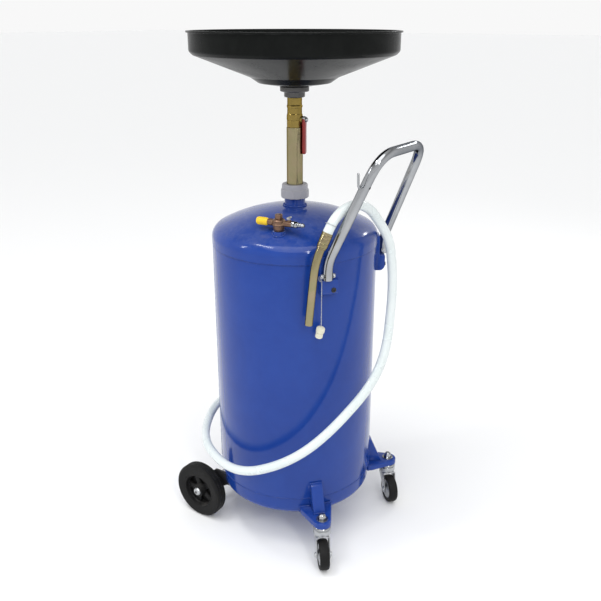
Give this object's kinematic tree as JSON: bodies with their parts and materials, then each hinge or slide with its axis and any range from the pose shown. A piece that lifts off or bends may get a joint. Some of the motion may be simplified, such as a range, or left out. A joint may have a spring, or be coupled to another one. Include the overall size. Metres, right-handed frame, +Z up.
{
  "type": "mobile waste oil drainer",
  "caption": "Wheeled waste-oil drainer: an upright pressure tank with a catch bowl on a sliding mast, a push handle, swivel casters and a discharge hose.",
  "frame": {"origin": "middle of the footprint on the floor, under the tank", "axes": "+X towards the push handle and the swivel casters, +Y to the left side, +Z up; stored standing on its wheels, with the mast low and the hose hung over the handle"},
  "size_m": [0.5491, 0.5044, 1.2446],
  "materials": {
    "blue_paint": "gloss mid-blue enamel over welded sheet steel",
    "black_gloss": "gloss black stove enamel",
    "black_paint": "semi-gloss black paint",
    "chrome": "bright chrome plate",
    "bright_zinc": "bright zinc plate",
    "yellow_zinc": "yellow passivated zinc plate",
    "brass": "machined brass",
    "bronze": "bare hot-forged brass",
    "cast_grey": "grey painted casting",
    "dark_steel": "dark phosphated steel",
    "hub_steel": "zinc-plated pressed steel",
    "tyre_rubber": "black rubber, slightly dusty",
    "black_plastic": "moulded black plastic with a fine grain",
    "red_vinyl": "dipped red vinyl sleeve",
    "yellow_plastic": "moulded yellow plastic",
    "white_nylon": "natural white nylon",
    "clear_hose": "cloudy clear flexible vinyl"
  },
  "bodies": {
    "chassis": {"tank_shell": "blue_paint", "top_head": "blue_paint", "bottom_head": "blue_paint", "mast_socket": "blue_paint", "guide_sleeve": "white_nylon", "handle_bar": "chrome", "handle_bracket_right": "blue_paint", "handle_bracket_left": "blue_paint", "handle_bolt_right": "bright_zinc", "handle_bolt_left": "bright_zinc", "hose_hook": "chrome", "caster_plate_right": "blue_paint", "caster_plate_left": "blue_paint", "caster_gusset_right": "blue_paint", "caster_gusset_left": "blue_paint", "caster_kingpin_right": "bright_zinc", "caster_kingpin_left": "bright_zinc", "acorn_nut_right": "chrome", "acorn_nut_left": "chrome", "rear_axle": "bright_zinc", "axle_cheek_right": "black_paint", "axle_cheek_left": "black_paint", "hub_cap_right": "bright_zinc", "hub_cap_left": "bright_zinc", "air_bung": "blue_paint", "air_manifold": "bronze", "air_plug": "chrome", "discharge_elbow": "brass", "pickup_pipe": "bright_zinc", "hose_clamp": "chrome", "discharge_hose": "clear_hose", "hose_ferrule": "yellow_zinc", "drain_nozzle": "yellow_zinc", "plug_chain": "bright_zinc", "nozzle_plug": "white_nylon"},
    "clamp": {"clamp_nut": "cast_grey"},
    "mast_guide": {"stop_ring": "bright_zinc"},
    "mast": {"mast_tube": "yellow_zinc", "valve_body": "brass", "bowl_adapter": "dark_steel", "bowl": "black_gloss"},
    "valve": {"valve_ball": "chrome", "valve_lever": "red_vinyl"},
    "strainer": {"bowl_strainer": "bright_zinc"},
    "vent": {"vent_knob": "yellow_plastic"},
    "cock": {"air_cock": "bright_zinc"},
    "swivel_right": {"caster_fork_right": "bright_zinc", "caster_axle_right": "bright_zinc"},
    "caster_wheel_right": {"caster_tyre_right": "tyre_rubber", "caster_hub_right": "hub_steel"},
    "rear_wheel_right": {"rear_tyre_right": "tyre_rubber", "rear_hub_right": "black_plastic"},
    "swivel_left": {"caster_fork_left": "bright_zinc", "caster_axle_left": "bright_zinc"},
    "caster_wheel_left": {"caster_tyre_left": "tyre_rubber", "caster_hub_left": "hub_steel"},
    "rear_wheel_left": {"rear_tyre_left": "tyre_rubber", "rear_hub_left": "black_plastic"}
  },
  "joints": [
    {"name": "clamp_turn", "type": "hinge", "parent": "chassis", "child": "clamp", "pos_m": [-0.0195, 0, 0.885], "axis": [0, 0, 1], "range_deg": [0, 120]},
    {"name": "mast_slide", "type": "slide", "parent": "chassis", "child": "mast_guide", "axis": [0, 0, 1], "range_m": [-0.06, 0.475]},
    {"name": "mast_turn", "type": "hinge", "parent": "mast_guide", "child": "mast", "pos_m": [-0.0195, 0, 0.9], "axis": [0, 0, 1], "continuous": true},
    {"name": "valve_turn", "type": "hinge", "parent": "mast", "child": "valve", "pos_m": [-0.0195, 0, 1.051], "axis": [0.9659, 0.2588, 0], "range_deg": [0, 90]},
    {"name": "strainer_lift", "type": "slide", "parent": "mast", "child": "strainer", "axis": [0, 0, 1], "range_m": [0, 0.2]},
    {"name": "caster_swivel_right", "type": "hinge", "parent": "chassis", "child": "swivel_right", "pos_m": [0.17668, -0.16756, 0.1], "axis": [0, 0, 1], "continuous": true},
    {"name": "caster_roll_right", "type": "hinge", "parent": "swivel_right", "child": "caster_wheel_right", "pos_m": [0.19309, -0.18643, 0.0375], "axis": [0.7547, 0.6561, 0], "continuous": true},
    {"name": "caster_swivel_left", "type": "hinge", "parent": "chassis", "child": "swivel_left", "pos_m": [0.17668, 0.16756, 0.1], "axis": [0, 0, 1], "continuous": true},
    {"name": "caster_roll_left", "type": "hinge", "parent": "swivel_left", "child": "caster_wheel_left", "pos_m": [0.19555, 0.15116, 0.0375], "axis": [0.6561, 0.7547, 0], "continuous": true},
    {"name": "rear_roll_right", "type": "hinge", "parent": "chassis", "child": "rear_wheel_right", "pos_m": [-0.1995, -0.1885, 0.075], "axis": [0, 1, 0], "continuous": true},
    {"name": "rear_roll_left", "type": "hinge", "parent": "chassis", "child": "rear_wheel_left", "pos_m": [-0.1995, 0.1885, 0.075], "axis": [0, 1, 0], "continuous": true},
    {"name": "vent_unscrew", "type": "hinge", "parent": "chassis", "child": "vent", "pos_m": [-0.00855, -0.14894, 0.843], "axis": [0.9877, 0.1564, 0], "range_deg": [0, 180]},
    {"name": "cock_turn", "type": "hinge", "parent": "chassis", "child": "cock", "pos_m": [0.06158, -0.13783, 0.857], "axis": [0, 0, 1], "range_deg": [0, 90]}
  ]
}
